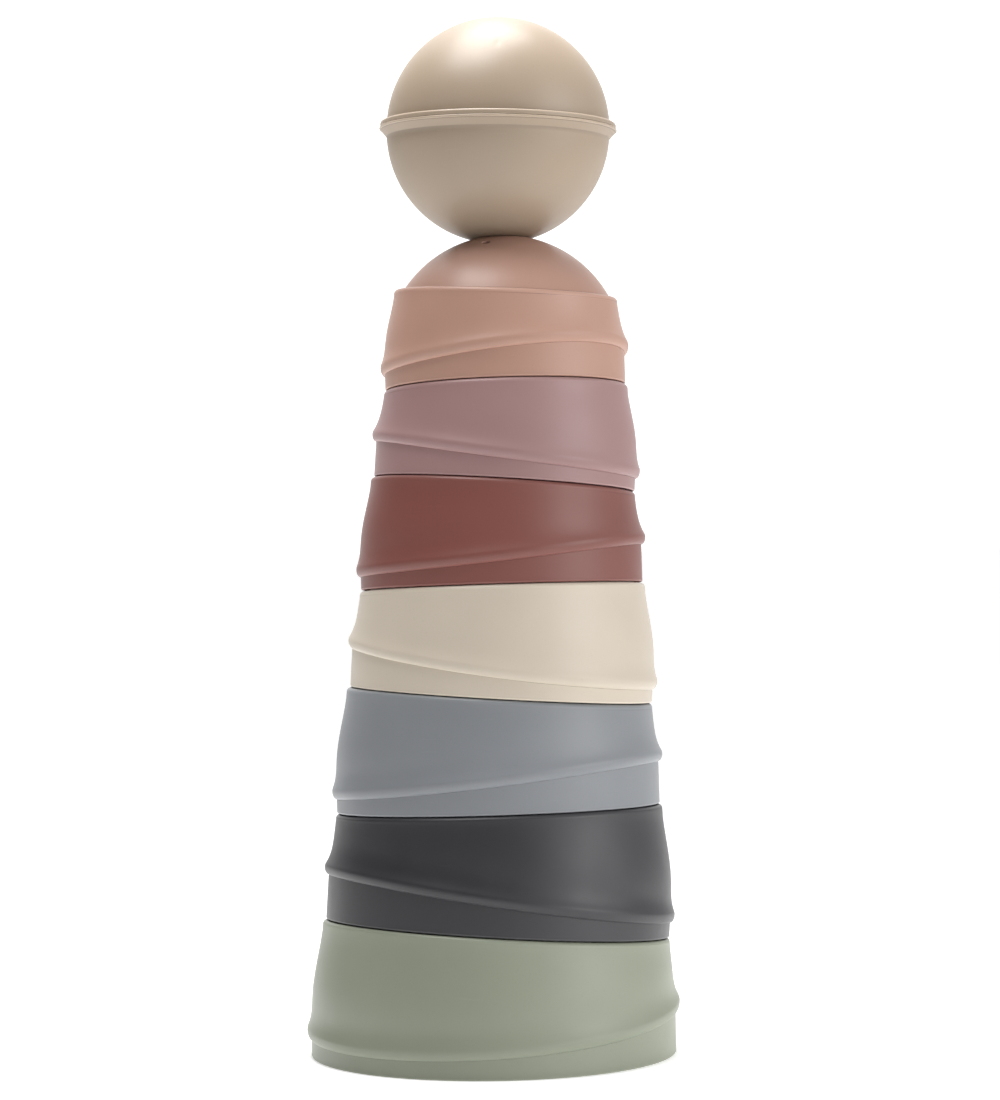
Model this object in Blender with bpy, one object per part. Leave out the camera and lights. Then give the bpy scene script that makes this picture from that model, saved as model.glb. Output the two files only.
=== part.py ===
"""Stacking ring toy: seven hollow wedge rings and a ball, in metres, +Z up.

Each ring's top leans 5 degrees against its foot, so turning the rings makes the
tower wander. A ring lifts straight off the collar of the ring below it, and the
ball lifts off its dish on the dome. The origin is the middle of the base ring's
foot, on the surface that the toy stands on.
"""

import math

import bmesh
import bpy
from mathutils import Matrix, Vector

# Rings, from the base up. Radii and heights fall by the same step each time.
BASE_RADIUS = 0.0574
RADIUS_STEP = 0.00322
BASE_HEIGHT = 0.0393
HEIGHT_STEP = 0.00173
LEAN = math.radians(5.0)
SHOULDER_LEDGE = 0.0006
LIP_LEVEL = 0.247
END_LIP_LEVEL = 0.263
LIP_DIP = 0.0011
LIP_REACH = 0.00135
LIP_DEPTH = 0.0024
FLARE_HEIGHT = 0.0105
FLARE_REACH = 0.0018
FLARE_SWING = 0.0003
FLARE_POWER = 3
FLARE_BREAK = 0.88
SWELL_END = 0.8
SWELL_POWER = 1.4
SHOULDER_ROUND = 0.0014
FOOT_ROUND = 0.0005
WALL = 0.0020

# A collar on each ring centres the ring above, with room for it to slide a little.
COLLAR_HEIGHT = 0.0035
COLLAR_CLEARANCE = 0.0008
PLAY = 0.00045
GAP = 0.0003

# How far each ring is turned: the side to which its top falls, from +X towards +Y.
RING_TURNS = [math.radians(angle) for angle in (40, 190, -11, 164, 1, 169, -41)]

# The top ring is closed by a dome as wide as its foot, dished for the ball.
DOME_RING_RISE = 0.0008
DOME_CENTRE = 0.0102
BALL_SINK = 0.0021
VENT_RADIUS = 0.00135
VENT_FROM_POLE = math.radians(26.0)
VENT_TURN = math.radians(-107.0)

# The ball is two moulded half shells that meet at a flange.
BALL_RADIUS = 0.0355
BALL_STRETCH = 0.0004
PARTING = 0.0005
LOWER_FLANGE_RADIUS = 0.0378
LOWER_FLANGE_THICKNESS = 0.0008
LOWER_FLANGE_CONE = 0.0023
UPPER_FLANGE_RADIUS = 0.0375
UPPER_FLANGE_THICKNESS = 0.0015
FLANGE_ROUND = 0.0004
SPIGOT_WALL = 0.0011
SPIGOT_HEIGHT = 0.0020
BALL_LEAN_RIGHT = math.radians(1.3)
BALL_LEAN_BACK = math.radians(1.8)

# How finely the pieces are drawn.
SIDES = 40
BALL_BANDS = 7
DOME_BANDS = 6
VENT_SIDES = 12
SHARP_ANGLE = math.radians(35.0)
DIAGONAL = math.sqrt(0.5)  # the sine and cosine of 45 degrees

RINGS = (
    ("base_ring", (0.300, 0.337, 0.246)),
    ("second_ring", (0.071, 0.070, 0.078)),
    ("third_ring", (0.230, 0.250, 0.270)),
    ("fourth_ring", (0.610, 0.545, 0.450)),
    ("fifth_ring", (0.285, 0.115, 0.098)),
    ("sixth_ring", (0.385, 0.250, 0.245)),
    ("dome_ring", (0.530, 0.330, 0.265)),
)
BALL_COLOUR = (0.500, 0.390, 0.275)
PLASTIC_ROUGHNESS = 0.42


def clear_scene():
    for obj in list(bpy.data.objects):
        bpy.data.objects.remove(obj, do_unlink=True)


def plastic(name, colour):
    material = bpy.data.materials.new(name + "_plastic")
    material.use_nodes = True
    shader = material.node_tree.nodes["Principled BSDF"]
    shader.inputs["Base Color"].default_value = (*colour, 1.0)
    shader.inputs["Roughness"].default_value = PLASTIC_ROUGHNESS
    shader.inputs["Metallic"].default_value = 0.0
    return material


def azimuths():
    return [2.0 * math.pi * i / SIDES for i in range(SIDES)]


def across(angle, radius, height=0.0):
    return Vector((radius * math.cos(angle), radius * math.sin(angle), height))


def lathe_row(radius, height):
    """A level circle of points round the Z axis."""
    return [across(angle, radius, height) for angle in azimuths()]


def closed_object(name, rows, colour, joins_up):
    """One closed body through rows of points. A row of one point is a pole."""
    mesh = bpy.data.meshes.new(name)
    bm = bmesh.new()
    made = [[bm.verts.new(point) for point in row] for row in rows]
    pairs = list(zip(made, made[1:]))
    if joins_up:
        pairs.append((made[-1], made[0]))
    for lower, upper in pairs:
        for i in range(SIDES):
            j = (i + 1) % SIDES
            if len(lower) == 1:
                bm.faces.new((lower[0], upper[j], upper[i]))
            elif len(upper) == 1:
                bm.faces.new((lower[i], lower[j], upper[0]))
            else:
                bm.faces.new((lower[i], lower[j], upper[j], upper[i]))
    bmesh.ops.recalc_face_normals(bm, faces=bm.faces)
    bm.to_mesh(mesh)
    bm.free()
    mesh.shade_smooth()
    mesh.set_sharp_from_angle(angle=SHARP_ANGLE)
    obj = bpy.data.objects.new(name, mesh)
    obj.data.materials.append(plastic(name, colour))
    bpy.context.scene.collection.objects.link(obj)
    return obj


class Ring:
    """The rule that all seven rings share, in the frame of the ring's own foot."""

    def __init__(self, level):
        self.turn = RING_TURNS[level]
        self.foot = BASE_RADIUS - RADIUS_STEP * level
        self.top = self.foot - RADIUS_STEP + SHOULDER_LEDGE
        self.pitch = BASE_HEIGHT - HEIGHT_STEP * level
        self.height = self.pitch - GAP
        ends = (0, len(RING_TURNS) - 1)
        self.lip_height = (END_LIP_LEVEL if level in ends else LIP_LEVEL) * self.pitch
        self.collar = self.foot - RADIUS_STEP - WALL - COLLAR_CLEARANCE

    def top_frame(self, height):
        """Turns the foot frame into a plane at this height that leans towards the turn."""
        to_turn = Matrix.Rotation(self.turn, 4, "Z")
        shift = Matrix.Translation((height * math.tan(LEAN / 2.0), 0.0, height))
        return to_turn @ shift @ Matrix.Rotation(LEAN, 4, "Y") @ to_turn.inverted()

    def top_row(self, radius, below=0.0):
        """A circle parallel to the top, this far below it."""
        frame = self.top_frame(self.height)
        return [frame @ across(angle, radius, -below) for angle in azimuths()]

    def lip_row(self, out, above):
        """The lip rises towards the turn, and dips between its high and its low side."""
        rise = math.tan(LEAN) * self.foot
        row = []
        for angle in azimuths():
            dip = LIP_DIP * math.sin(angle - self.turn) ** 2
            height = self.lip_height + rise * math.cos(angle - self.turn) - dip
            row.append(across(angle, self.foot + out, height + above))
        return row

    def wall_row(self, share, flare, inset=0.0):
        """A row of the side wall. Share runs down from the shoulder to the flare, and
        flare runs on from 0 to 1 at the lip's widest point."""
        shoulder = self.top_row(self.top, SHOULDER_ROUND)
        lip = self.lip_row(LIP_REACH, LIP_DEPTH)
        row = []
        for angle, start, end in zip(azimuths(), shoulder, lip):
            depth = start.z - end.z
            down = share * (depth - FLARE_HEIGHT) + flare * FLARE_HEIGHT
            reach = (end - start).to_2d()
            kick = FLARE_REACH + FLARE_SWING * math.cos(angle - self.turn)
            out = (reach.length - kick) * swell(down / depth) + kick * flared(flare)
            point = start.lerp(end, down / depth)
            point.xy = start.xy + reach * (out / reach.length)
            inward = point.to_2d().normalized().to_3d() * inset
            row.append(point - inward)
        return row

    def outside(self):
        """Rows from the foot's outer edge up to the inner end of the top ledge."""
        corner = SHOULDER_ROUND * (1.0 - DIAGONAL)
        return [
            lathe_row(self.foot - FOOT_ROUND, 0.0),
            lathe_row(self.foot, FOOT_ROUND),
            self.lip_row(0.0, 0.0),
            self.lip_row(DIAGONAL * LIP_REACH, (1.0 - DIAGONAL) * LIP_DEPTH),
            self.lip_row(LIP_REACH, LIP_DEPTH),
            self.wall_row(1.0, FLARE_BREAK),
            self.wall_row(1.0, 0.50),
            self.wall_row(1.0, 0.0),
            self.wall_row(0.5, 0.0),
            self.top_row(self.top, SHOULDER_ROUND),
            self.top_row(self.top - corner, corner),
            self.top_row(self.top - SHOULDER_ROUND),
        ]

    def inside_wall(self):
        """Rows from under the top ledge down to the foot's inner edge."""
        return [
            self.top_row(self.top - WALL, WALL),
            self.wall_row(1.0, 0.0, WALL),
            self.lip_row(-WALL, LIP_DEPTH),
            lathe_row(self.foot - WALL, 0.0),
        ]

    def collar_rows(self):
        return [
            self.top_row(self.collar),
            self.top_row(self.collar, -COLLAR_HEIGHT),
            self.top_row(self.collar - WALL, -COLLAR_HEIGHT),
            self.top_row(self.collar - WALL, WALL),
        ]


def swell(down):
    """How far the plain part of a wall has gone outwards, for the share of its depth."""
    return math.sin(math.pi / 2.0 * min(1.0, down / SWELL_END)) ** SWELL_POWER


def flared(share):
    """The flare above the lip: a power curve that rounds over smoothly at the lip's edge."""
    left = 1.0 - FLARE_BREAK
    slope = FLARE_POWER * FLARE_BREAK ** (FLARE_POWER - 1)
    size = 1.0 / (FLARE_BREAK**FLARE_POWER + slope * left / 2.0)
    if share < FLARE_BREAK:
        return size * share**FLARE_POWER
    return 1.0 - size * slope * (1.0 - share) ** 2 / (2.0 * left)


def spheres_meet(first, second, distance):
    """Radius and height, from the first centre, of the circle where two spheres meet."""
    height = (distance**2 + first**2 - second**2) / (2.0 * distance)
    return math.sqrt(first**2 - height**2), height


def ball_distance():
    """From the middle of the dome's sphere to that of the ball's lower half."""
    return Ring(len(RINGS) - 1).foot + BALL_RADIUS - BALL_SINK


def dome_rows(ring, radius, dish_radius, below):
    """A dome from a plane this far below the ring's top up to the dish's lowest point."""
    centre = Vector((0.0, 0.0, DOME_CENTRE))
    plane = ring.top_frame(ring.height) @ Matrix.Translation((0.0, 0.0, -below))
    normal = plane.to_3x3().col[2]
    reach = (plane.translation - centre).dot(normal)
    edge = math.sqrt(radius**2 - reach**2)
    middle = centre + normal * reach
    flat = plane.to_3x3()
    start = [middle + flat @ across(angle, edge) for angle in azimuths()]
    distance = ball_distance()
    rim_radius, rim_height = spheres_meet(radius, dish_radius, distance)
    rim = [centre + across(angle, rim_radius, rim_height) for angle in azimuths()]
    rows = []
    for band in range(DOME_BANDS + 1):
        share = band / DOME_BANDS
        row = []
        for low, high in zip(start, rim):
            from_low = (low - centre).normalized()
            row.append(centre + from_low.slerp((high - centre).normalized(), share) * radius)
        rows.append(row)
    half = rim_radius / 2.0
    half_height = distance - math.sqrt(dish_radius**2 - half**2)
    rows.append([centre + across(angle, half, half_height) for angle in azimuths()])
    rows.append([centre + Vector((0.0, 0.0, distance - dish_radius))])
    return rows


def vent_cutter(name):
    mesh = bpy.data.meshes.new(name)
    bm = bmesh.new()
    bmesh.ops.create_cone(
        bm,
        cap_ends=True,
        segments=VENT_SIDES,
        radius1=VENT_RADIUS,
        radius2=VENT_RADIUS,
        depth=4.0 * WALL,
    )
    bm.to_mesh(mesh)
    bm.free()
    cutter = bpy.data.objects.new(name, mesh)
    cutter.hide_render = True
    cutter.display_type = "WIRE"
    bpy.context.scene.collection.objects.link(cutter)
    return cutter


def place(obj, frame, parent, parent_frame):
    """Puts the object in its frame and, where it rests on another, makes it that one's child."""
    if parent:
        obj.parent = parent
        obj.matrix_parent_inverse = parent_frame.inverted()
    obj.matrix_basis = frame


def next_frame(frame, ring):
    """The foot frame of the ring above: on the top, and slid downhill by the play."""
    top = frame @ ring.top_frame(ring.pitch)
    normal = top.to_3x3().col[2]
    downhill = (normal * normal.z - Vector((0.0, 0.0, 1.0))).normalized()
    return Matrix.Translation(downhill * PLAY) @ top


def make_ring(level):
    name, colour = RINGS[level]
    ring = Ring(level)
    return closed_object(name, ring.outside() + ring.collar_rows() + ring.inside_wall(), colour, True)


def make_dome_ring(frame):
    """The top ring and its dome are one moulding, open underneath, with two vent holes."""
    name, colour = RINGS[-1]
    ring = Ring(len(RINGS) - 1)
    ring.height = ring.pitch + DOME_RING_RISE
    dish = BALL_RADIUS + GAP
    outer = dome_rows(ring, ring.foot, dish, 0.0)
    inner = dome_rows(ring, ring.foot - WALL, dish + WALL, WALL)
    rows = inner[::-1] + ring.inside_wall() + ring.outside() + outer
    dome = closed_object(name, rows, colour, False)
    for number in (0, 1):
        cutter = vent_cutter("vent_cutter_%d" % (number + 1))
        aim = Matrix.Rotation(VENT_TURN + number * math.pi, 4, "Z")
        aim = aim @ Matrix.Rotation(VENT_FROM_POLE, 4, "Y")
        outwards = Matrix.Translation((0.0, 0.0, ring.foot - WALL / 2.0))
        cutter.matrix_basis = frame @ Matrix.Translation((0.0, 0.0, DOME_CENTRE)) @ aim @ outwards
        hole = dome.modifiers.new("vent_%d" % (number + 1), "BOOLEAN")
        hole.operation = "DIFFERENCE"
        hole.solver = "EXACT"
        hole.object = cutter
    return dome


def ball_arc(radius, height, sign):
    """Rows of a half sphere from its pole to a level this far past the ball's middle."""
    centre = sign * BALL_STRETCH
    end = math.acos((height - centre) * sign / radius)
    rows = [[Vector((0.0, 0.0, centre + sign * radius))]]
    for band in range(1, BALL_BANDS + 1):
        angle = end * band / BALL_BANDS
        rows.append(lathe_row(radius * math.sin(angle), centre + sign * radius * math.cos(angle)))
    return rows


def make_lower_shell():
    """A bowl with a thin flange, a cone under the flange and a spigot inside it."""
    inner = BALL_RADIUS - WALL
    underside = PARTING - LOWER_FLANGE_THICKNESS
    spigot = inner + SPIGOT_WALL
    rows = ball_arc(BALL_RADIUS, underside - LOWER_FLANGE_CONE, -1)
    rows += [
        lathe_row(LOWER_FLANGE_RADIUS, underside),
        lathe_row(LOWER_FLANGE_RADIUS, PARTING),
        lathe_row(spigot, PARTING),
        lathe_row(spigot, PARTING + SPIGOT_HEIGHT),
        lathe_row(inner, PARTING + SPIGOT_HEIGHT),
    ]
    rows += ball_arc(inner, -BALL_STRETCH, -1)[::-1]
    return closed_object("ball_lower_shell", rows, BALL_COLOUR, False)


def make_upper_shell():
    """A cap with a thicker flange, whose rebate takes the lower shell's spigot."""
    inner = BALL_RADIUS - WALL
    underside = PARTING + GAP
    top = underside + UPPER_FLANGE_THICKNESS
    rebate = inner + SPIGOT_WALL + GAP
    rebate_top = PARTING + SPIGOT_HEIGHT + GAP
    rows = ball_arc(BALL_RADIUS, top, 1)
    rows += [
        lathe_row(UPPER_FLANGE_RADIUS - FLANGE_ROUND, top),
        lathe_row(UPPER_FLANGE_RADIUS, top - FLANGE_ROUND),
        lathe_row(UPPER_FLANGE_RADIUS, underside + FLANGE_ROUND),
        lathe_row(UPPER_FLANGE_RADIUS - FLANGE_ROUND, underside),
        lathe_row(rebate, underside),
        lathe_row(rebate, rebate_top),
    ]
    rows += ball_arc(inner, rebate_top, 1)[::-1]
    return closed_object("ball_upper_shell", rows, BALL_COLOUR, False)


def ball_frame(dome_frame):
    """The ball rests in the dish, turned a little to the right and away at its top."""
    seat = Matrix.Translation((0.0, 0.0, DOME_CENTRE + ball_distance()))
    middle = (dome_frame @ seat).translation
    turned = Matrix.Rotation(BALL_LEAN_RIGHT, 4, "Y") @ Matrix.Rotation(-BALL_LEAN_BACK, 4, "X")
    return Matrix.Translation(middle) @ turned @ Matrix.Translation((0.0, 0.0, BALL_STRETCH))


def build():
    clear_scene()
    frame = Matrix.Identity(4)
    parent = None
    parent_frame = None
    for level in range(len(RINGS)):
        last = level == len(RINGS) - 1
        obj = make_dome_ring(frame) if last else make_ring(level)
        place(obj, frame, parent, parent_frame)
        parent = obj
        parent_frame = frame
        if not last:
            frame = next_frame(frame, Ring(level))
    resting = ball_frame(parent_frame)
    lower = make_lower_shell()
    place(lower, resting, parent, parent_frame)
    place(make_upper_shell(), resting, lower, resting)


build()
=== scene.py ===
"""The looks of the stacking ring toy: fine meshes for its nine mouldings, their satin
plastics, a pale floor, soft studio light and the camera.

Lengths are in metres. The design rule of the rings is the CAD model's own, drawn here with
more points and with every edge rounded, so each fine piece lies on the node it stands for.
"""

import math

import bpy
import numpy as np
from mathutils import Matrix, Vector


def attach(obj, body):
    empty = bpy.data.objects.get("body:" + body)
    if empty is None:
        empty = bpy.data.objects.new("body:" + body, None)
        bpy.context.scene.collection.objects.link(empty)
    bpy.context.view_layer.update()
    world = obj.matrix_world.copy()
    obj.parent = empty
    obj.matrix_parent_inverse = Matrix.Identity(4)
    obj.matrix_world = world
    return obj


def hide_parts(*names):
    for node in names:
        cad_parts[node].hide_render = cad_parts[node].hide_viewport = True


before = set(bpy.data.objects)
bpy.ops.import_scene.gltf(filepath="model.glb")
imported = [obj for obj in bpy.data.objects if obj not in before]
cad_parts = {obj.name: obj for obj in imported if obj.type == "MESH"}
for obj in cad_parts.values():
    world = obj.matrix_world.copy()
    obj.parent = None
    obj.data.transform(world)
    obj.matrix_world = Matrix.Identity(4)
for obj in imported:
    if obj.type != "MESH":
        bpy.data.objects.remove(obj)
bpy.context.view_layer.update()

# The rings' rule, as in the CAD model.
BASE_RADIUS = 0.0574
RADIUS_STEP = 0.00322
BASE_HEIGHT = 0.0393
HEIGHT_STEP = 0.00173
LEAN = math.radians(5.0)
SHOULDER_LEDGE = 0.0006
LIP_LEVEL = 0.247
END_LIP_LEVEL = 0.263
LIP_DIP = 0.0011
LIP_REACH = 0.00135
LIP_DEPTH = 0.0024
FLARE_HEIGHT = 0.0105
FLARE_REACH = 0.0018
FLARE_SWING = 0.0003
FLARE_POWER = 3
FLARE_BREAK = 0.88
SWELL_END = 0.8
SWELL_POWER = 1.4
SHOULDER_ROUND = 0.0014
FOOT_ROUND = 0.0005
WALL = 0.0020
COLLAR_HEIGHT = 0.0035
COLLAR_CLEARANCE = 0.0008
COLLAR_ROUND = 0.0006
PLAY = 0.00045
GAP = 0.0003
RING_TURNS = [math.radians(angle) for angle in (40, 190, -11, 164, 1, 169, -41)]

# The dome on the top ring, and the ball in its dish.
DOME_RING_RISE = 0.0008
DOME_CENTRE = 0.0102
BALL_SINK = 0.0021
DISH_ROUND = 0.0004
VENT_RADIUS = 0.00135
VENT_ROUND = 0.0003
VENT_FROM_POLE = math.radians(26.0)
VENT_TURN = math.radians(-107.0)
VENT_DEPTH = 3.0 * WALL
VENT_MOUTH = 3.0 * VENT_ROUND
BALL_RADIUS = 0.0355
BALL_STRETCH = 0.0004
PARTING = 0.0005
LOWER_FLANGE_RADIUS = 0.0378
LOWER_FLANGE_THICKNESS = 0.0008
LOWER_FLANGE_CONE = 0.0023
BRIM_START = -1.4  # radians below level, where the cone runs into the lower flange's brim
UPPER_FLANGE_RADIUS = 0.0375
UPPER_FLANGE_THICKNESS = 0.0015
SPIGOT_WALL = 0.0011
SPIGOT_HEIGHT = 0.0020
FLANGE_ROUND = 0.0004
FLANGE_TOP_ROUND = 0.0007
PARTING_ROUND = 0.0002
PARTING_FILL = 0.0001
GATE_RADIUS = 0.0009
GATE_DEPTH = 0.0002
GATE_FROM_POLE = math.radians(48.0)
GATE_TURN = math.radians(-91.0)
BALL_LEAN_RIGHT = math.radians(1.3)
BALL_LEAN_BACK = math.radians(1.8)

# How finely the pieces are drawn.
SIDES = 240
ARC_STEPS = 6
EDGE_SUPPORT = 0.00012
DOME_BANDS = 28
BALL_BANDS = 44
VENT_SIDES = 32
CREASE_ROUND = 0.0004
CREASE_ANGLE = math.radians(40.0)
BAND_SHARES = (0.0, 0.33, 0.67, 1.0)
CONE_SHARES = (0.1, 0.5, 0.9, 1.0)
BRIM_STEPS = 10
BREAK_ROWS = 5
FLARE_ROWS = 12
WALL_ROWS = 10
INNER_WALL_ROWS = 5
SOFT_TURN = 350.0  # per metre: a profile that turns less than this has no edge
SHARP_TURN = 1500.0  # and one that turns as much as this has a full one

# Each ring's node, its body and its slot in the record, from the base up.
RINGS = (
    ("base_ring", "base", "sage_plastic"),
    ("second_ring", "second_tier", "charcoal_plastic"),
    ("third_ring", "third_tier", "blue_grey_plastic"),
    ("fourth_ring", "fourth_tier", "cream_plastic"),
    ("fifth_ring", "fifth_tier", "brick_plastic"),
    ("sixth_ring", "sixth_tier", "mauve_plastic"),
    ("dome_ring", "dome_tier", "peach_plastic"),
)
BALL_SLOT = "sand_plastic"
COLOURS = {
    "sage_plastic": (0.25, 0.27, 0.205),
    "charcoal_plastic": (0.032, 0.031, 0.035),
    "blue_grey_plastic": (0.21, 0.22, 0.235),
    "cream_plastic": (0.56, 0.49, 0.40),
    "brick_plastic": (0.20, 0.068, 0.055),
    "mauve_plastic": (0.32, 0.19, 0.185),
    "peach_plastic": (0.43, 0.25, 0.19),
    "sand_plastic": (0.36, 0.28, 0.205),
}

# The satin plastic. A noise is (scale, detail, roughness), levels are values of a noise, and
# a share says how far a mark mixes its own tint in.
ROUGHNESS = 0.42
PLASTIC_IOR = 1.5
SEED_SHIFT = (0.37, 0.21, 0.53)
DRIFT_NOISE = (22.0, 3.0, 0.5)
FLECK_NOISE = (1400.0, 2.0, 0.5)
GRAIN_NOISE = (2600.0, 3.0, 0.6)
SMUDGE_NOISE = (60.0, 4.0, 0.6)
SCUFF_NOISE = (1.0, 1.0, 0.5)
SCUFF_SCALE = (60.0, 60.0, 900.0)
SCUFF_TURN = (0.5, 0.35, 0.0)
MIDDLE_LEVELS = (0.3, 0.7)
FLECK_LEVELS = (0.62, 0.75)
SCUFF_LEVELS = (0.735, 0.76)
PATCH_LEVELS = (0.35, 0.65)
# The weakest share of the lighter edges, which are part rubbed wear and part painted highlight.
LEAST_EDGE_WEAR_AND_HIGHLIGHT = 0.55
DRIFT_DARK = 0.955
DRIFT_LIGHT = 1.045
FLECK_DARK = 0.90
# How dark the painted shade in creases and recesses is.
CREASE_SHADE_DARK = 0.45
PALE_GAIN = 1.35
PALE_LIFT = 0.03
FLECK_SHARE = 0.45
# How far outer edges lighten: part rubbed wear, part painted highlight.
EDGE_WEAR_AND_HIGHLIGHT_SHARE = 0.7
SCUFF_SHARE = 0.06
SMUDGE_ROUGHNESS = 0.035
GRAIN_ROUGHNESS = 0.02
WORN_POLISH = 0.06
DRIFT_HEIGHT = 2.0
SCUFF_HEIGHT = 0.12
BUMP_STRENGTH = 0.35
BUMP_DEPTH = 0.00002

# The studio: broad glows in the sky (direction, sharpness, strength), softboxes (name,
# width, height, power, place), a floor that glows a little of its own, and a camera.
SKY_GLOWS = (
    ((0.0, 0.0, 1.0), 6.0, 1.2),
    ((1.0, 0.0, 0.3), 4.0, 0.6),
    ((0.75, -0.65, 0.3), 6.0, 0.35),
    ((0.0, 1.0, 0.3), 4.0, 1.6),
    ((0.67, -0.74, 0.1), 30.0, 0.7),
    ((0.9, -0.4, 0.25), 20.0, 4.3),
)
SOFTBOXES = (
    ("top_softbox", 0.55, 0.3, 6.0, (-0.08, 0.055, 0.80)),
    ("rear_softbox", 0.5, 0.3, 0.5, (-0.10, 0.35, 0.75)),
)
SOFTBOX_AIM = (0.0, 0.0, 0.29)
FLOOR_COLOUR = (0.92, 0.92, 0.92)
FLOOR_GLOW = 0.37
FLOOR_ROUGHNESS = 0.9
FLOOR_RINGS = (0.3, 1.0, 3.0, 8.0)
FLOOR_SIDES = 64
CAMERA_PLACE = (0.0039, -1.163, 0.1802)
CAMERA_DOWN = math.radians(1.08)
CAMERA_ROLL = math.radians(0.74)
CAMERA_LENS = 121.0
SENSOR_WIDTH = 36.0
NEAREST = 0.05
FARTHEST = 30.0

ANGLES = np.arange(SIDES) * (2.0 * math.pi / SIDES)


# ---------------------------------------------------------------- frames and rows


def shift(x, y, z):
    matrix = np.eye(4)
    matrix[:3, 3] = (x, y, z)
    return matrix


def spin(angle, axis):
    """A turn about X, Y or Z by the right-hand rule."""
    matrix = np.eye(4)
    i, j = {"X": (1, 2), "Y": (2, 0), "Z": (0, 1)}[axis]
    matrix[i, i] = matrix[j, j] = math.cos(angle)
    matrix[j, i] = math.sin(angle)
    matrix[i, j] = -math.sin(angle)
    return matrix


def moved(matrix, points):
    return points @ matrix[:3, :3].T + matrix[:3, 3]


def circle(radius, height=0.0):
    """A level circle of points round the Z axis."""
    row = np.empty((SIDES, 3))
    row[:, 0] = radius * np.cos(ANGLES)
    row[:, 1] = radius * np.sin(ANGLES)
    row[:, 2] = height
    return row


def quarter(steps=ARC_STEPS):
    """(sine, cosine) of each step of a quarter turn, ends included."""
    for step in range(steps + 1):
        angle = math.pi / 2.0 * step / steps
        yield math.sin(angle), math.cos(angle)


def swell(down):
    """How far the plain part of a wall has gone outwards, for the share of its depth."""
    return np.sin(math.pi / 2.0 * np.minimum(1.0, down / SWELL_END)) ** SWELL_POWER


def flared(share):
    """The flare above the lip: a power curve that rounds over smoothly at the lip's edge."""
    left = 1.0 - FLARE_BREAK
    slope = FLARE_POWER * FLARE_BREAK ** (FLARE_POWER - 1)
    size = 1.0 / (FLARE_BREAK**FLARE_POWER + slope * left / 2.0)
    if share < FLARE_BREAK:
        return size * share**FLARE_POWER
    return 1.0 - size * slope * (1.0 - share) ** 2 / (2.0 * left)


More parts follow.
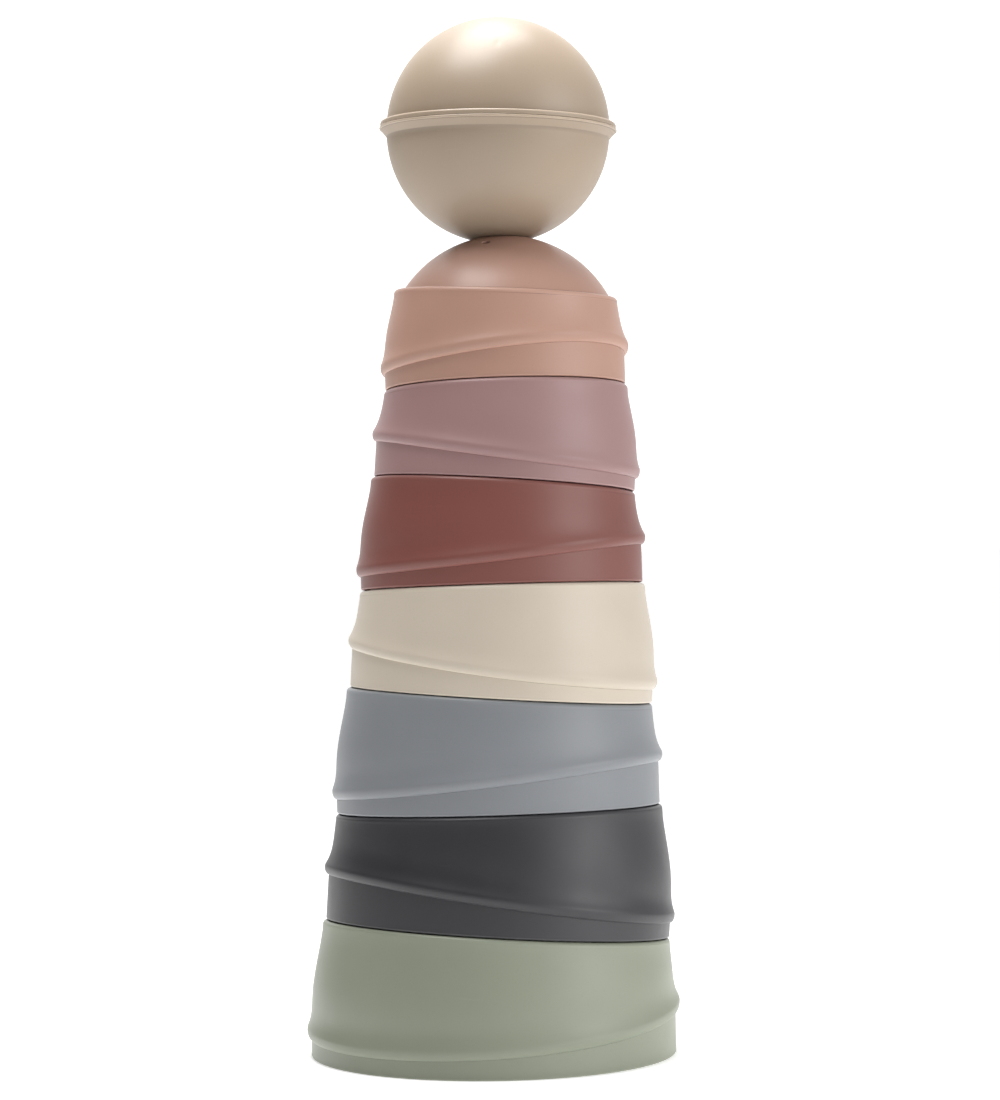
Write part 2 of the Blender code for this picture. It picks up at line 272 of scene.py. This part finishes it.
class Ring:
    """The rule that all seven rings share, in the frame of the ring's own foot."""

    def __init__(self, level):
        self.turn = RING_TURNS[level]
        self.foot = BASE_RADIUS - RADIUS_STEP * level
        self.top = self.foot - RADIUS_STEP + SHOULDER_LEDGE
        self.pitch = BASE_HEIGHT - HEIGHT_STEP * level
        self.height = self.pitch - GAP
        ends = (0, len(RING_TURNS) - 1)
        self.lip_height = (END_LIP_LEVEL if level in ends else LIP_LEVEL) * self.pitch
        self.collar = self.foot - RADIUS_STEP - WALL - COLLAR_CLEARANCE

    def top_frame(self, height):
        """The foot frame moved to a plane at this height that leans towards the turn."""
        slide = shift(height * math.tan(LEAN / 2.0), 0.0, height)
        return spin(self.turn, "Z") @ slide @ spin(LEAN, "Y") @ spin(-self.turn, "Z")

    def top_row(self, radius, below=0.0):
        """A circle parallel to the top, this far below it."""
        return moved(self.top_frame(self.height), circle(radius, -below))

    def lip_row(self, out, above):
        """The lip rises towards the turn, and dips between its high and its low side."""
        row = circle(self.foot + out)
        rise = math.tan(LEAN) * self.foot * np.cos(ANGLES - self.turn)
        dip = LIP_DIP * np.sin(ANGLES - self.turn) ** 2
        row[:, 2] = self.lip_height + rise - dip + above
        return row

    def wall_row(self, share, flare, inset=0.0):
        """A row of the side wall. Share runs down from the shoulder to the flare, and
        flare runs on from 0 to 1 at the lip's widest point."""
        start = self.top_row(self.top, SHOULDER_ROUND)
        end = self.lip_row(LIP_REACH, LIP_DEPTH)
        depth = start[:, 2] - end[:, 2]
        down = share * (depth - FLARE_HEIGHT) + flare * FLARE_HEIGHT
        reach = (end - start)[:, :2]
        length = np.hypot(reach[:, 0], reach[:, 1])
        kick = FLARE_REACH + FLARE_SWING * np.cos(ANGLES - self.turn)
        out = (length - kick) * swell(down / depth) + kick * flared(flare)
        row = start + (end - start) * (down / depth)[:, None]
        row[:, :2] = start[:, :2] + reach * (out / length)[:, None]
        inward = row[:, :2] / np.hypot(row[:, 0], row[:, 1])[:, None]
        row[:, :2] -= inward * inset
        return row

    def foot_rows(self):
        """The foot's outer edge, rounded, and the band above it up to the lip's root."""
        rows = [circle(self.foot - FOOT_ROUND - EDGE_SUPPORT, 0.0)]
        for sine, cosine in quarter():
            rows.append(circle(self.foot - FOOT_ROUND * (1.0 - sine), FOOT_ROUND * (1.0 - cosine)))
        band = circle(self.foot, FOOT_ROUND + EDGE_SUPPORT)
        root = self.lip_row(0.0, -EDGE_SUPPORT)
        rows += [band + (root - band) * share for share in BAND_SHARES]
        return rows

    def lip_rows(self):
        """The lip's underside: a quarter of an ellipse from the band out to its edge."""
        rows = []
        for sine, cosine in quarter(2 * ARC_STEPS):
            rows.append(self.lip_row(LIP_REACH * sine, LIP_DEPTH * (1.0 - cosine)))
        return rows

    def wall_rows(self):
        over = 1.0 - FLARE_BREAK
        rows = []
        for step in range(1, BREAK_ROWS + 1):
            rows.append(self.wall_row(1.0, 1.0 - over * step / BREAK_ROWS))
        for step in range(FLARE_ROWS - 1, 0, -1):
            rows.append(self.wall_row(1.0, FLARE_BREAK * step / FLARE_ROWS))
        for step in range(WALL_ROWS, 0, -1):
            rows.append(self.wall_row(step / WALL_ROWS, 0.0))
        return rows

    def shoulder_rows(self):
        rows = [self.top_row(self.top, SHOULDER_ROUND + EDGE_SUPPORT)]
        for sine, cosine in quarter(ARC_STEPS + 2):
            inset = SHOULDER_ROUND * (1.0 - cosine)
            rows.append(self.top_row(self.top - inset, SHOULDER_ROUND * (1.0 - sine)))
        rows.append(self.top_row(self.top - SHOULDER_ROUND - EDGE_SUPPORT))
        return rows

    def collar_rows(self):
        """The collar that the ring above drops over, with its top edges rounded."""
        inner = self.collar - WALL
        crown = COLLAR_HEIGHT - COLLAR_ROUND
        rows = [self.top_row(self.collar + EDGE_SUPPORT), self.top_row(self.collar)]
        rows.append(self.top_row(self.collar, -EDGE_SUPPORT))
        for sine, cosine in quarter():
            inset = COLLAR_ROUND * (1.0 - cosine)
            rows.append(self.top_row(self.collar - inset, -crown - COLLAR_ROUND * sine))
        for sine, cosine in quarter():
            outset = COLLAR_ROUND * (1.0 - sine)
            rows.append(self.top_row(inner + outset, -crown - COLLAR_ROUND * cosine))
        rows += [self.top_row(inner, WALL - EDGE_SUPPORT), self.top_row(inner, WALL)]
        rows.append(self.top_row(inner + EDGE_SUPPORT, WALL))
        return rows

    def inside_rows(self):
        """From under the top ledge down the inner wall to the foot's inner edge."""
        inner = self.foot - WALL
        rows = []
        for sine, cosine in quarter():
            inset = FOOT_ROUND * (1.0 - sine)
            rows.append(self.top_row(self.top - WALL - inset, WALL + FOOT_ROUND * (1.0 - cosine)))
        for step in range(1, INNER_WALL_ROWS + 1):
            rows.append(self.wall_row(step / INNER_WALL_ROWS, 0.0, WALL))
        rows += [self.wall_row(1.0, 0.5, WALL), self.lip_row(-WALL, LIP_DEPTH)]
        rows += [circle(inner, FOOT_ROUND + EDGE_SUPPORT)]
        for sine, cosine in quarter():
            rows.append(circle(inner + FOOT_ROUND * (1.0 - cosine), FOOT_ROUND * (1.0 - sine)))
        return rows


def next_frame(matrix, ring):
    """The foot frame of the ring above: on the top, and slid downhill by the play."""
    top = matrix @ ring.top_frame(ring.pitch)
    normal = top[:3, 2]
    downhill = normal * normal[2] - np.array((0.0, 0.0, 1.0))
    return shift(*(downhill / np.linalg.norm(downhill) * PLAY)) @ top


def foot_frames():
    frames = [np.eye(4)]
    for level in range(len(RING_TURNS) - 1):
        frames.append(next_frame(frames[-1], Ring(level)))
    return frames


# ---------------------------------------------------------------- the dome


def spheres_meet(first, second, distance):
    """Radius and height, from the first centre, of the circle where two spheres meet."""
    height = (distance**2 + first**2 - second**2) / (2.0 * distance)
    return math.sqrt(first**2 - height**2), height


def ball_distance():
    """From the middle of the dome's sphere to that of the ball's lower half."""
    return Ring(len(RING_TURNS) - 1).foot + BALL_RADIUS - BALL_SINK


def directions(row):
    return row / np.linalg.norm(row, axis=1)[:, None]


def arc_between(start, end, share):
    """Unit vectors this share of the way from the start ones to the end ones."""
    angle = np.arccos(np.clip((start * end).sum(axis=1), -1.0, 1.0))[:, None]
    return (start * np.sin((1.0 - share) * angle) + end * np.sin(share * angle)) / np.sin(angle)


def fillet(centre, radius, start, end, steps):
    """(radius, height) of each point of an arc in the plane of a turned profile."""
    for step in range(steps + 1):
        angle = start + (end - start) * step / steps
        yield centre[0] + radius * math.cos(angle), centre[1] + radius * math.sin(angle)


def dome_rows(ring, radius, dish_radius, below, crease, bands):
    """A dome from a plane this far below the ring's top to the lowest point of the dish.
    Both of its edges are filleted: the crease at the plane, and the rim of the dish."""
    centre = np.array((0.0, 0.0, DOME_CENTRE))
    plane = ring.top_frame(ring.height) @ shift(0.0, 0.0, -below)
    reach = (plane[:3, 3] - centre) @ plane[:3, 2]
    plane[:3, 3] = centre
    height = reach + crease
    root = math.sqrt((radius + crease) ** 2 - height**2)
    to_sphere = math.atan2(height, root) - math.pi
    rows = []
    for out, up in fillet((root, height), crease, -math.pi / 2.0, to_sphere, ARC_STEPS):
        rows.append(moved(plane, circle(out, up)))

    distance = ball_distance()
    rim, level = spheres_meet(radius - DISH_ROUND, dish_radius + DISH_ROUND, distance)
    start = math.atan2(level, rim)
    end = math.atan2(distance - level, -rim)
    rounded = list(fillet((rim, level), DISH_ROUND, start, end, ARC_STEPS))
    low = directions(rows[-1] - centre)
    high = directions(circle(*rounded[0]))
    for band in range(1, bands):
        rows.append(centre + arc_between(low, high, band / bands) * radius)
    rows += [centre + circle(out, up) for out, up in rounded]

    edge = math.asin(rounded[-1][0] / dish_radius)
    for band in range(bands - 1, 0, -1):
        angle = edge * band / bands
        rows.append(
            centre + circle(dish_radius * math.sin(angle), distance - dish_radius * math.cos(angle))
        )
    rows.append(centre + np.array([[0.0, 0.0, distance - dish_radius]]))
    return rows


# ---------------------------------------------------------------- the ball


def ball_arc(radius, height, sign, bands):
    """Rows of a half sphere from its pole to a level this far past the ball's middle."""
    centre = sign * BALL_STRETCH
    end = math.acos((height - centre) * sign / radius)
    rows = [np.array([[0.0, 0.0, centre + sign * radius]])]
    for band in range(1, bands + 1):
        angle = end * band / bands
        rows.append(circle(radius * math.sin(angle), centre + sign * radius * math.cos(angle)))
    return rows


def ball_frame(dome_frame):
    """The ball rests in the dish, turned a little to the right and away at its top."""
    seat = dome_frame @ shift(0.0, 0.0, DOME_CENTRE + ball_distance())
    turned = spin(BALL_LEAN_RIGHT, "Y") @ spin(-BALL_LEAN_BACK, "X")
    return shift(*seat[:3, 3]) @ turned @ shift(0.0, 0.0, BALL_STRETCH)


def lower_shell_rows():
    """A bowl with a thin flange, a cone under the flange and a spigot inside it."""
    inner = BALL_RADIUS - WALL
    underside = PARTING - LOWER_FLANGE_THICKNESS
    face = PARTING + PARTING_FILL
    spigot = inner + SPIGOT_WALL
    rows = ball_arc(BALL_RADIUS, underside - LOWER_FLANGE_CONE, -1, BALL_BANDS)
    root = rows[-1][0, 0]
    middle = (underside + face) / 2.0
    edge = (face - underside) / 2.0
    brim = LOWER_FLANGE_RADIUS - edge
    for share in CONE_SHARES:
        out = root + (brim - root) * share
        rows.append(circle(out, underside - LOWER_FLANGE_CONE * (1.0 - share)))
    for radius, level in fillet((brim, middle), edge, BRIM_START, math.pi / 2.0, BRIM_STEPS):
        rows.append(circle(radius, level))
    rows += [
        circle(spigot + EDGE_SUPPORT, face),
        circle(spigot, face),
        circle(spigot, PARTING + SPIGOT_HEIGHT),
        circle(inner, PARTING + SPIGOT_HEIGHT),
    ]
    return rows + ball_arc(inner, -BALL_STRETCH, -1, BALL_BANDS // 2)[::-1]


def upper_shell_rows():
    """A cap with a thicker, rounded flange, whose rebate takes the lower shell's spigot."""
    inner = BALL_RADIUS - WALL
    underside = PARTING + GAP - PARTING_FILL
    top = PARTING + GAP + UPPER_FLANGE_THICKNESS
    rebate = inner + SPIGOT_WALL + GAP
    rebate_top = PARTING + SPIGOT_HEIGHT + GAP
    rows = ball_arc(inner, rebate_top, 1, BALL_BANDS // 2)
    rows += [
        circle(rebate, rebate_top),
        circle(rebate, underside),
        circle(rebate + EDGE_SUPPORT, underside),
    ]
    for sine, cosine in quarter():
        out = UPPER_FLANGE_RADIUS - PARTING_ROUND * (1.0 - sine)
        rows.append(circle(out, underside + PARTING_ROUND * (1.0 - cosine)))
    brim = UPPER_FLANGE_RADIUS - FLANGE_TOP_ROUND
    for sine, cosine in quarter():
        rows.append(circle(brim + FLANGE_TOP_ROUND * cosine, top - FLANGE_TOP_ROUND * (1.0 - sine)))

    # The root of the flange is filleted into the ball.
    level = top + FLANGE_ROUND
    root = math.sqrt((BALL_RADIUS + FLANGE_ROUND) ** 2 - (level - BALL_STRETCH) ** 2)
    to_ball = -math.pi - math.atan2(BALL_STRETCH - level, root)
    for radius, height in fillet((root, level), FLANGE_ROUND, -math.pi / 2.0, to_ball, ARC_STEPS):
        rows.append(circle(radius, height))
    arc = ball_arc(BALL_RADIUS, rows[-1][0, 2], 1, BALL_BANDS)[::-1]
    return rows + gate_mark(arc[1:])


def gate_mark(rows):
    """Presses the small round mark of the moulding gate into the cap."""
    angle = GATE_FROM_POLE
    middle = np.array(
        (math.sin(angle) * math.cos(GATE_TURN), math.sin(angle) * math.sin(GATE_TURN), math.cos(angle))
    )
    for row in rows:
        outward = directions(row - (0.0, 0.0, BALL_STRETCH))
        away = np.arccos(np.clip(outward @ middle, -1.0, 1.0)) * BALL_RADIUS / GATE_RADIUS
        row -= outward * (GATE_DEPTH * np.exp(-(away**4)))[:, None]
    return rows


# ---------------------------------------------------------------- building the pieces


def edge_values(rows):
    """For each point of closed rows, how sharply the profile turns there: up to 1 on an
    outer edge, down to -1 in a crease, and 0 on plain faces."""
    values = []
    for number, row in enumerate(rows):
        if len(row) == 1:
            values.append(np.zeros(1))
            continue
        before = row - rows[number - 1]
        after = rows[(number + 1) % len(rows)] - row
        length = (np.linalg.norm(before, axis=1) + np.linalg.norm(after, axis=1)) / 2.0
        along = np.roll(row, -1, axis=0) - np.roll(row, 1, axis=0)
        outward = directions(np.cross(along, before + after))
        turn = -((directions(after) - directions(before)) * outward).sum(axis=1) / length
        sharp = np.clip((np.abs(turn) - SOFT_TURN) / (SHARP_TURN - SOFT_TURN), 0.0, 1.0)
        values.append(sharp * np.sign(turn))
    return np.concatenate(values)


def closed_piece(name, rows, placing, node, body, material):
    """One closed body through rows of points. A row of one point is a pole."""
    counts = [len(row) for row in rows]
    starts = np.concatenate(([0], np.cumsum(counts)))
    pairs = list(zip(range(len(rows)), range(1, len(rows))))
    if counts[0] > 1:
        pairs.append((len(rows) - 1, 0))
    here = np.arange(SIDES)
    after = (here + 1) % SIDES
    faces = []
    for low, high in pairs:
        if counts[low] == 1:
            pole = np.full(SIDES, starts[low])
            corners = (pole, starts[high] + after, starts[high] + here)
        elif counts[high] == 1:
            pole = np.full(SIDES, starts[high])
            corners = (starts[low] + here, starts[low] + after, pole)
        else:
            corners = (
                starts[low] + here,
                starts[low] + after,
                starts[high] + after,
                starts[high] + here,
            )
        faces += np.stack(corners, axis=1).tolist()

    mesh = bpy.data.meshes.new(name)
    mesh.from_pydata(moved(placing, np.concatenate(rows)).tolist(), [], faces)
    mesh.shade_smooth()
    mesh.set_sharp_from_angle(angle=CREASE_ANGLE)
    mesh.materials.append(material)
    edges = mesh.attributes.new("edge", "FLOAT", "POINT")
    edges.data.foreach_set("value", edge_values(rows).astype(np.float32))
    piece = bpy.data.objects.new(name, mesh)
    bpy.context.scene.collection.objects.link(piece)
    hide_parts(node)
    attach(piece, body)
    return piece


def ring_rows(ring):
    rows = ring.foot_rows() + ring.lip_rows() + ring.wall_rows()
    return rows + ring.shoulder_rows() + ring.collar_rows() + ring.inside_rows()


def domed_ring_rows():
    """The top ring and its dome are one moulding, open underneath."""
    ring = Ring(len(RING_TURNS) - 1)
    ring.height = ring.pitch + DOME_RING_RISE
    dish = BALL_RADIUS + GAP
    outer = dome_rows(ring, ring.foot, dish, 0.0, CREASE_ROUND, DOME_BANDS)
    inner = dome_rows(ring, ring.foot - WALL, dish + WALL, WALL, CREASE_ROUND, DOME_BANDS // 2)
    outside = ring.foot_rows() + ring.lip_rows() + ring.wall_rows() + ring.shoulder_rows()
    return inner[::-1] + ring.inside_rows() + outside + outer


def turned_mesh(name, profile, sides):
    """A closed mesh turned round Z through (radius, height) points, with flat ends."""
    points = []
    for radius, height in profile:
        for step in range(sides):
            angle = 2.0 * math.pi * step / sides
            points.append((radius * math.cos(angle), radius * math.sin(angle), height))
    faces = [range(sides)[::-1], range(len(points) - sides, len(points))]
    for start in range(0, len(points) - sides, sides):
        for step in range(sides):
            after = (step + 1) % sides
            above = start + sides
            faces.append((start + step, start + after, above + after, above + step))
    mesh = bpy.data.meshes.new(name)
    mesh.from_pydata(points, [], [list(face) for face in faces])
    return mesh


def cut_vent(dome, placing, number):
    """A round hole through the dome's wall, with a softened outer edge."""
    profile = [(VENT_RADIUS, -VENT_DEPTH), (VENT_RADIUS, -VENT_ROUND)]
    for sine, cosine in quarter():
        profile.append((VENT_RADIUS + VENT_ROUND * (1.0 - cosine), -VENT_ROUND * (1.0 - sine)))
    profile.append((VENT_RADIUS + VENT_MOUTH, VENT_ROUND))
    cutter = bpy.data.objects.new("vent_cutter", turned_mesh("vent_cutter", profile, VENT_SIDES))
    bpy.context.scene.collection.objects.link(cutter)
    aim = spin(VENT_TURN + number * math.pi, "Z") @ spin(VENT_FROM_POLE, "Y")
    reach = Ring(len(RING_TURNS) - 1).foot
    place = placing @ shift(0.0, 0.0, DOME_CENTRE) @ aim @ shift(0.0, 0.0, reach)
    cutter.matrix_world = Matrix(place.tolist())
    hole = dome.modifiers.new("vent", "BOOLEAN")
    hole.operation = "DIFFERENCE"
    hole.solver = "EXACT"
    hole.object = cutter
    bpy.context.view_layer.objects.active = dome
    bpy.context.view_layer.update()
    bpy.ops.object.modifier_apply(modifier=hole.name)
    bpy.data.objects.remove(cutter, do_unlink=True)


# ---------------------------------------------------------------- materials


def add_node(tree, kind, **settings):
    made = tree.nodes.new(kind)
    for key, value in settings.items():
        if hasattr(made, key):
            setattr(made, key, value)
        else:
            made.inputs[key.replace("_", " ")].default_value = value
    return made


def noise(tree, place, scale, detail, roughness):
    made = add_node(tree, "ShaderNodeTexNoise", Scale=scale, Detail=detail, Roughness=roughness)
    tree.links.new(place, made.inputs["Vector"])
    return made.outputs["Fac"]


def remap(tree, value, low, high, to_low, to_high):
    """Stretches low..high to to_low..to_high, and holds it there beyond them."""
    made = add_node(tree, "ShaderNodeMapRange", clamp=True)
    made.inputs["From Min"].default_value = low
    made.inputs["From Max"].default_value = high
    made.inputs["To Min"].default_value = to_low
    made.inputs["To Max"].default_value = to_high
    tree.links.new(value, made.inputs["Value"])
    return made.outputs["Result"]


def combine(tree, operation, first, second):
    made = add_node(tree, "ShaderNodeMath", operation=operation)
    for socket, value in zip(made.inputs, (first, second)):
        if isinstance(value, (int, float)):
            socket.default_value = value
        else:
            tree.links.new(value, socket)
    return made.outputs["Value"]


def mixed(tree, share, first, second):
    """A colour this share of the way from the first to the second."""
    made = add_node(tree, "ShaderNodeMix", data_type="RGBA", clamp_factor=True)
    # Of the node's sockets for each kind of data, these are the factor and the two colours.
    sockets = (made.inputs[0], made.inputs[6], made.inputs[7])
    for socket, value in zip(sockets, (share, first, second)):
        if isinstance(value, bpy.types.NodeSocket):
            tree.links.new(value, socket)
        else:
            socket.default_value = value
    return made.outputs[2]


def tinted(colour, gain, lift=0.0):
    """A pigment made lighter or darker, with its alpha."""
    return [min(1.0, channel * gain + lift) for channel in colour] + [1.0]


def shifted_place(tree, seed):
    """Object coordinates, shifted so that no two materials share a pattern."""
    coordinates = add_node(tree, "ShaderNodeTexCoord")
    mapping = add_node(tree, "ShaderNodeMapping")
    mapping.inputs["Location"].default_value = [step * seed for step in SEED_SHIFT]
    tree.links.new(coordinates.outputs["Object"], mapping.inputs["Vector"])
    return mapping.outputs["Vector"]


def scuffs(tree, place):
    """Hairline scuffs: the highest peaks of a noise stretched round the piece."""
    stretch = add_node(tree, "ShaderNodeMapping")
    stretch.inputs["Scale"].default_value = SCUFF_SCALE
    stretch.inputs["Rotation"].default_value = SCUFF_TURN
    tree.links.new(place, stretch.inputs["Vector"])
    return remap(tree, noise(tree, stretch.outputs["Vector"], *SCUFF_NOISE), *SCUFF_LEVELS, 0.0, 1.0)


def satin_plastic(name, colour, seed):
    """Moulded plastic: an even pigment that drifts a little, a fine spark-eroded grain,
    hairline scuffs, edges made lighter and smoother as part rubbed wear and part painted highlight,
    and creases darkened with painted shade."""
    material = bpy.data.materials.new(name)
    material.use_nodes = True
    tree = material.node_tree
    shader = tree.nodes["Principled BSDF"]
    shader.inputs["Metallic"].default_value = 0.0
    shader.inputs["IOR"].default_value = PLASTIC_IOR

    place = shifted_place(tree, seed)
    drift = noise(tree, place, *DRIFT_NOISE)
    fleck = noise(tree, place, *FLECK_NOISE)
    grain = noise(tree, place, *GRAIN_NOISE)
    smudge = noise(tree, place, *SMUDGE_NOISE)
    scuff = scuffs(tree, place)
    edge = add_node(tree, "ShaderNodeAttribute", attribute_name="edge").outputs["Fac"]
    patchy = remap(tree, smudge, *PATCH_LEVELS, LEAST_EDGE_WEAR_AND_HIGHLIGHT, 1.0)
    # Outer edges, in patches: part rubbed wear, part painted highlight.
    worn_and_highlit = combine(tree, "MULTIPLY", remap(tree, edge, 0.0, 1.0, 0.0, 1.0), patchy)
    # Concave creases and recesses, down to the gaps between the rings, get painted shade.
    crease = remap(tree, edge, -1.0, 0.0, 1.0, 0.0)

    pale = tinted(colour, PALE_GAIN, PALE_LIFT)
    drifted = remap(tree, drift, *MIDDLE_LEVELS, 0.0, 1.0)
    flecked = remap(tree, fleck, *FLECK_LEVELS, 0.0, FLECK_SHARE)
    base = mixed(tree, drifted, tinted(colour, DRIFT_DARK), tinted(colour, DRIFT_LIGHT))
    base = mixed(tree, flecked, base, tinted(colour, FLECK_DARK))
    # Edges mix towards the pale tint: part wear, part painted highlight.
    base = mixed(tree, combine(tree, "MULTIPLY", worn_and_highlit, EDGE_WEAR_AND_HIGHLIGHT_SHARE), base, pale)
    base = mixed(tree, combine(tree, "MULTIPLY", scuff, SCUFF_SHARE), base, pale)
    # Creases mix towards a darker tint: painted shade where light is blocked.
    base = mixed(tree, crease, base, tinted(colour, CREASE_SHADE_DARK))
    tree.links.new(base, shader.inputs["Base Color"])

    smooth, dull = ROUGHNESS - SMUDGE_ROUGHNESS, ROUGHNESS + SMUDGE_ROUGHNESS
    rough = remap(tree, smudge, *MIDDLE_LEVELS, smooth, dull)
    gritty = remap(tree, grain, *MIDDLE_LEVELS, -GRAIN_ROUGHNESS, GRAIN_ROUGHNESS)
    rough = combine(tree, "ADD", rough, gritty)
    rough = combine(tree, "SUBTRACT", rough, combine(tree, "MULTIPLY", worn_and_highlit, WORN_POLISH))
    tree.links.new(rough, shader.inputs["Roughness"])

    height = combine(tree, "ADD", grain, combine(tree, "MULTIPLY", drift, DRIFT_HEIGHT))
    height = combine(tree, "SUBTRACT", height, combine(tree, "MULTIPLY", scuff, SCUFF_HEIGHT))
    bump = add_node(tree, "ShaderNodeBump", Strength=BUMP_STRENGTH, Distance=BUMP_DEPTH)
    tree.links.new(height, bump.inputs["Height"])
    tree.links.new(bump.outputs["Normal"], shader.inputs["Normal"])
    return material


def lit_floor():
    material = bpy.data.materials.new("floor_paint")
    material.use_nodes = True
    shader = material.node_tree.nodes["Principled BSDF"]
    shader.inputs["Base Color"].default_value = (*FLOOR_COLOUR, 1.0)
    shader.inputs["Roughness"].default_value = FLOOR_ROUGHNESS
    shader.inputs["Specular IOR Level"].default_value = 0.0
    shader.inputs["Emission Color"].default_value = (1.0, 1.0, 1.0, 1.0)
    shader.inputs["Emission Strength"].default_value = FLOOR_GLOW
    return material


# ---------------------------------------------------------------- the studio


def softbox(name, width, height, power, place, aim):
    """A rectangular light of this size at a place, facing a point."""
    data = bpy.data.lights.new(name, "AREA")
    data.shape = "RECTANGLE"
    data.size = width
    data.size_y = height
    data.energy = power
    light = bpy.data.objects.new(name, data)
    bpy.context.scene.collection.objects.link(light)
    light.location = place
    light.rotation_euler = (Vector(aim) - Vector(place)).to_track_quat("-Z", "Y").to_euler()


def make_floor():
    """A pale floor, flush with the foot and so wide that its edge is lost in the distance."""
    points = [(0.0, 0.0, 0.0)]
    faces = []
    for ring, radius in enumerate(FLOOR_RINGS):
        start = 1 + ring * FLOOR_SIDES
        inner = start - FLOOR_SIDES
        for step in range(FLOOR_SIDES):
            angle = 2.0 * math.pi * step / FLOOR_SIDES
            points.append((radius * math.cos(angle), radius * math.sin(angle), 0.0))
            after = (step + 1) % FLOOR_SIDES
            if ring == 0:
                faces.append((0, start + step, start + after))
            else:
                faces.append((inner + step, start + step, start + after, inner + after))
    mesh = bpy.data.meshes.new("floor")
    mesh.from_pydata(points, [], faces)
    mesh.materials.append(lit_floor())
    floor = bpy.data.objects.new("floor", mesh)
    bpy.context.scene.collection.objects.link(floor)


def make_world():
    """White to the eye, and for the light a dark sky with broad glows in it."""
    world = bpy.data.worlds.new("studio")
    bpy.context.scene.world = world
    world.use_nodes = True
    tree = world.node_tree
    tree.nodes.clear()
    coordinates = add_node(tree, "ShaderNodeTexCoord")
    level = 0.0
    for direction, sharpness, strength in SKY_GLOWS:
        towards = add_node(tree, "ShaderNodeVectorMath", operation="DOT_PRODUCT")
        towards.inputs[1].default_value = Vector(direction).normalized()
        tree.links.new(coordinates.outputs["Generated"], towards.inputs[0])
        facing = combine(tree, "MAXIMUM", towards.outputs["Value"], 0.0)
        glow = combine(tree, "MULTIPLY", combine(tree, "POWER", facing, sharpness), strength)
        level = combine(tree, "ADD", level, glow)
    path = add_node(tree, "ShaderNodeLightPath")
    level = combine(tree, "MAXIMUM", level, path.outputs["Is Camera Ray"])
    light = add_node(tree, "ShaderNodeBackground")
    light.inputs["Color"].default_value = (1.0, 1.0, 1.0, 1.0)
    tree.links.new(level, light.inputs["Strength"])
    output = add_node(tree, "ShaderNodeOutputWorld")
    tree.links.new(light.outputs["Background"], output.inputs["Surface"])


def make_camera():
    data = bpy.data.cameras.new("camera")
    data.lens = CAMERA_LENS
    data.sensor_width = SENSOR_WIDTH
    data.clip_start = NEAREST
    data.clip_end = FARTHEST
    camera = bpy.data.objects.new("camera", data)
    bpy.context.scene.collection.objects.link(camera)
    level = Matrix.Rotation(math.pi / 2.0 - CAMERA_DOWN, 4, "X")
    rolled = level @ Matrix.Rotation(-CAMERA_ROLL, 4, "Z")
    camera.matrix_world = Matrix.Translation(CAMERA_PLACE) @ rolled
    bpy.context.scene.camera = camera


# ---------------------------------------------------------------- all of it


def build():
    frames = foot_frames()
    plastics = {}
    for seed, (slot, colour) in enumerate(COLOURS.items()):
        plastics[slot] = satin_plastic(slot, colour, seed)
    for level, (name, body, slot) in enumerate(RINGS):
        top = level == len(RINGS) - 1
        rows = domed_ring_rows() if top else ring_rows(Ring(level))
        plastic = plastics[slot]
        piece = closed_piece(name + "_moulding", rows, frames[level], name, body, plastic)
        if top:
            cut_vent(piece, frames[level], 0)
            cut_vent(piece, frames[level], 1)
    resting = ball_frame(frames[-1])
    shells = (("ball_lower_shell", lower_shell_rows()), ("ball_upper_shell", upper_shell_rows()))
    for name, rows in shells:
        plastic = plastics[BALL_SLOT]
        closed_piece(name + "_moulding", rows, resting, name, "ball", plastic)


def light_up():
    make_world()
    make_floor()
    for name, width, height, power, place in SOFTBOXES:
        softbox(name, width, height, power, place, SOFTBOX_AIM)
    bpy.context.scene.view_settings.view_transform = "Standard"
    bpy.context.scene.view_settings.look = "None"


make_camera()
build()
light_up()
